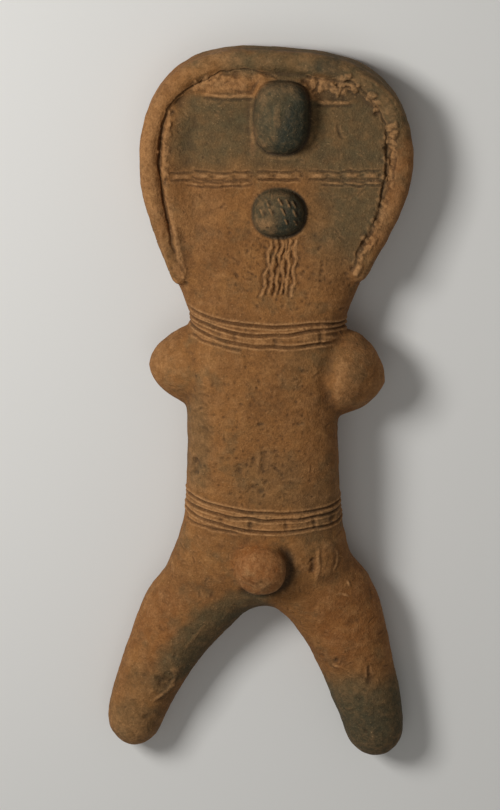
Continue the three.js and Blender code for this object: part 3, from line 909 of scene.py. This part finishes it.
class Nodes:
    """A material's node tree, written as short calls."""

    # Sockets of a Mix node of colours, whose names aren't unique.
    MIX_SHARE, MIX_A, MIX_B, MIX_RESULT = 0, 6, 7, 2

    def __init__(self, name):
        self.material = bpy.data.materials.new(name)
        self.material.use_nodes = True
        self.tree = self.material.node_tree
        self.tree.nodes.clear()

    def add(self, kind, **settings):
        node = self.tree.nodes.new(kind)
        for key, value in settings.items():
            setattr(node, key, value)
        return node

    def plug(self, socket, value):
        """Link a socket to another node's, or set it to a plain value."""
        if isinstance(value, bpy.types.NodeSocket):
            self.tree.links.new(value, socket)
        else:
            socket.default_value = value

    def noise(self, place, scale, detail, rough):
        node = self.add("ShaderNodeTexNoise")
        self.plug(node.inputs["Vector"], place)
        for name, value in (("Scale", scale), ("Detail", detail), ("Roughness", rough)):
            node.inputs[name].default_value = value
        return node.outputs["Fac"]

    def between(self, value, low, high, to=(0.0, 1.0)):
        """A soft change from the first of two numbers, at low, to the second, at high."""
        node = self.add("ShaderNodeMapRange", interpolation_type="SMOOTHSTEP")
        self.plug(node.inputs["Value"], value)
        for name, number in (("From Min", low), ("From Max", high), ("To Min", to[0]), ("To Max", to[1])):
            node.inputs[name].default_value = number
        return node.outputs["Result"]

    def reckon(self, kind, a, b):
        node = self.add("ShaderNodeMath", operation=kind)
        self.plug(node.inputs[0], a)
        self.plug(node.inputs[1], b)
        return node.outputs["Value"]

    def blend(self, share, a, b, kind="MIX"):
        node = self.add("ShaderNodeMix", data_type="RGBA", blend_type=kind)
        self.plug(node.inputs[self.MIX_SHARE], share)
        self.plug(node.inputs[self.MIX_A], a)
        self.plug(node.inputs[self.MIX_B], b)
        return node.outputs[self.MIX_RESULT]

    def tint(self, name):
        node = self.add("ShaderNodeAttribute", attribute_type="GEOMETRY", attribute_name=name)
        return node.outputs["Fac"]

    def surface(self, shader):
        """Show a shader on the material's surface."""
        out = self.add("ShaderNodeOutputMaterial")
        self.plug(out.inputs["Surface"], shader.outputs["BSDF"])


def colour(red, green, blue):
    return (red, green, blue, 1.0)


# Colours of the clay, and of what fire, wear and soil left on it; the soil, dark coat, ash and rubbed
# colours also serve as painted shade and painted highlights.
DULL_CLAY = colour(0.212, 0.091, 0.027)
WARM_CLAY = colour(0.278, 0.120, 0.034)
PALE_CLAY = colour(0.335, 0.158, 0.050)
BROWN_CLAY = colour(0.125, 0.056, 0.019)
RED_CLAY = colour(0.226, 0.076, 0.017)
RUBBED_CLAY_AND_HIGHLIGHT = colour(0.440, 0.225, 0.090)
PALE_GRIT = colour(0.420, 0.260, 0.120)
ASH = colour(0.098, 0.076, 0.036)
DARK_COAT_AND_SHADE = colour(0.035, 0.036, 0.022)
SOIL_AND_SHADE = colour(0.055, 0.030, 0.015)

# The clay's mottling, from broad clouds to sand: lumps to a metre, layers of detail and roughness.
GRAIN = dict(
    cloudy=(60.0, 3.0, 0.55),
    smoky=(130.0, 4.0, 0.6),
    blotchy=(210.0, 5.0, 0.65),
    gritty=(700.0, 4.0, 0.65),
    sandy=(1900.0, 2.0, 0.6),
)
GRAIN_HEIGHT = 0.7 * MM
GRAIN_STRENGTH = 0.8
SOIL_AND_SHADE_STRENGTH = 0.75
CLAY_SPECULAR = 0.2


def clay_body(nodes, grain):
    """The colour of the bare clay: dull and warm clouds, redder places, blotches and smoke."""
    tone = nodes.blend(nodes.between(grain["cloudy"], 0.35, 0.68), DULL_CLAY, WARM_CLAY)
    tone = nodes.blend(nodes.tint("red"), tone, RED_CLAY)
    tone = nodes.blend(nodes.between(grain["blotchy"], 0.45, 0.75, to=(0.0, 0.55)), tone, PALE_CLAY)
    tone = nodes.blend(nodes.between(grain["blotchy"], 0.45, 0.24, to=(0.0, 0.6)), tone, BROWN_CLAY)
    return nodes.blend(nodes.between(grain["smoky"], 0.5, 0.72, to=(0.0, 0.4)), tone, ASH)


def clay_finish(nodes, grain, tone):
    """What fire, wear and soil left on the clay, with the painted shade and painted highlights that its
    tints also carry, and its grit.
    """
    # The ash, coat and dirt tints lay painted shade as well as fire clouds, coats and soil, and the rub tint
    # lays painted highlights as well as wear.
    for name, broken, paint in (
        ("ash_and_shade", nodes.between(grain["blotchy"], 0.75, 0.35, to=(0.7, 1.0)), ASH),
        ("rub_and_highlight", nodes.between(grain["gritty"], 0.3, 0.6, to=(0.45, 1.0)), RUBBED_CLAY_AND_HIGHLIGHT),
        ("coat_and_shade", nodes.between(grain["gritty"], 0.75, 0.4, to=(0.75, 1.0)), DARK_COAT_AND_SHADE),
        ("dirt_and_shade", SOIL_AND_SHADE_STRENGTH, SOIL_AND_SHADE),
    ):
        tone = nodes.blend(nodes.reckon("MULTIPLY", nodes.tint(name), broken), tone, paint)
    tone = nodes.blend(nodes.between(grain["sandy"], 0.66, 0.74, to=(0.0, 0.45)), tone, PALE_GRIT)
    grit = nodes.between(grain["gritty"], 0.3, 0.7, to=(0.38, 0.62))
    speck = nodes.reckon("ADD", grit, nodes.between(grain["sandy"], 0.3, 0.7, to=(0.36, 0.64)))
    grey = nodes.add("ShaderNodeCombineColor")
    for socket in grey.inputs:
        nodes.plug(socket, speck)
    return nodes.blend(1.0, tone, grey.outputs["Color"], "MULTIPLY")


def clay_grain(nodes, grain):
    """The finest unevenness of the surface."""
    blotchy, gritty, sandy = [
        nodes.reckon("MULTIPLY", grain[name], share)
        for name, share in (("blotchy", 0.8), ("gritty", 0.6), ("sandy", 0.4))
    ]
    bump = nodes.add("ShaderNodeBump")
    bump.inputs["Strength"].default_value = GRAIN_STRENGTH
    bump.inputs["Distance"].default_value = GRAIN_HEIGHT
    height = nodes.reckon("ADD", nodes.reckon("ADD", blotchy, gritty), sandy)
    nodes.plug(bump.inputs["Height"], height)
    return bump.outputs["Normal"]


def fired_clay():
    """Low-fired orange-brown clay: mottled, gritty and dull, with dark coats and fire clouds, and painted
    shade and painted highlights in its tints.
    """
    nodes = Nodes("fired_clay")
    place = nodes.add("ShaderNodeTexCoord").outputs["Object"]
    grain = {name: nodes.noise(place, *values) for name, values in GRAIN.items()}
    roughness = nodes.between(nodes.tint("coat_and_shade"), 0.4, 1.0, to=(0.85, 0.6))
    shader = nodes.add("ShaderNodeBsdfPrincipled")
    nodes.plug(shader.inputs["Base Color"], clay_finish(nodes, grain, clay_body(nodes, grain)))
    nodes.plug(shader.inputs["Roughness"], roughness)
    nodes.plug(shader.inputs["Normal"], clay_grain(nodes, grain))
    shader.inputs["Specular IOR Level"].default_value = CLAY_SPECULAR
    nodes.surface(shader)
    return nodes.material


# The studio, in metres and watts.
FLOOR_RADIUS = 4.0
PALE_FLOOR = colour(0.74, 0.73, 0.70)
KEY_LAMP = dict(at=(-0.38, 0.20, 0.48), size=0.20, power=2.9)
FILL_LAMP = dict(at=(0.0, -0.3, 1.3), size=0.9, power=1.7)
ROOM_LIGHT = colour(1.0, 0.98, 0.95)
ROOM_STRENGTH = 0.17


def floor():
    """A plain pale floor."""
    shape = bmesh.new()
    bmesh.ops.create_circle(shape, cap_ends=True, segments=96, radius=FLOOR_RADIUS)
    mesh = bpy.data.meshes.new("floor")
    shape.to_mesh(mesh)
    shape.free()
    piece = bpy.data.objects.new("floor", mesh)
    bpy.context.scene.collection.objects.link(piece)
    nodes = Nodes("pale_floor")
    shader = nodes.add("ShaderNodeBsdfPrincipled")
    shader.inputs["Base Color"].default_value = PALE_FLOOR
    shader.inputs["Roughness"].default_value = 0.9
    nodes.surface(shader)
    mesh.materials.append(nodes.material)


def lamp(name, at, size, power):
    """A square soft lamp that shines at the figure's middle."""
    light = bpy.data.lights.new(name, "AREA")
    light.size = size
    light.energy = power
    piece = bpy.data.objects.new(name, light)
    piece.location = at
    piece.rotation_euler = (-Vector(at)).to_track_quat("-Z", "Y").to_euler()
    bpy.context.scene.collection.objects.link(piece)


def studio():
    """Two soft lamps in a pale room."""
    lamp("key_lamp", **KEY_LAMP)
    lamp("fill_lamp", **FILL_LAMP)
    world = bpy.data.worlds.new("pale_room")
    world.use_nodes = True
    background = world.node_tree.nodes["Background"]
    background.inputs["Color"].default_value = ROOM_LIGHT
    background.inputs["Strength"].default_value = ROOM_STRENGTH
    bpy.context.scene.world = world
    bpy.context.scene.view_settings.view_transform = "Standard"


# The camera looks down on the figure from a little towards its head. SEEN_POINT is a point on the
# figure, in metres, and SEEN_AT is the pixel of the picture where it shows.
PICTURE = (500, 810)
SEEN_POINT = Vector((-2.7, 1.5, 10.0)) * MM
SEEN_AT = (261.5, 401.0)
MM_PER_PIXEL = 0.31
CAMERA_AWAY = 1.5
CAMERA_TILT = math.radians(14.0)
CAMERA_ROLL = math.radians(2.35)
SENSOR = 36.0


def camera():
    """The camera of the picture's framing, tilted towards the head and rolled a little."""
    up_figure = Vector((0.0, math.cos(CAMERA_TILT), -math.sin(CAMERA_TILT)))
    across = Vector((1.0, 0.0, 0.0))
    right = across * math.cos(CAMERA_ROLL) + up_figure * math.sin(CAMERA_ROLL)
    up = up_figure * math.cos(CAMERA_ROLL) - across * math.sin(CAMERA_ROLL)
    back = right.cross(up)
    pixel = MM_PER_PIXEL * MM
    aim = SEEN_POINT - right * (SEEN_AT[0] - PICTURE[0] / 2) * pixel
    aim -= up * (PICTURE[1] / 2 - SEEN_AT[1]) * pixel
    lens = bpy.data.cameras.new("camera")
    lens.sensor_width = SENSOR
    lens.lens = SENSOR * CAMERA_AWAY / (PICTURE[1] * pixel)
    piece = bpy.data.objects.new("camera", lens)
    turn = Matrix((right, up, back)).transposed().to_4x4()
    piece.matrix_world = Matrix.Translation(aim + back * CAMERA_AWAY) @ turn
    bpy.context.scene.collection.objects.link(piece)
    bpy.context.scene.camera = piece


camera()
floor()
studio()

figure = clay_skin()
figure.data.materials.clear()
figure.data.materials.append(fired_clay())
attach(figure, "root")
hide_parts("clay_figure")
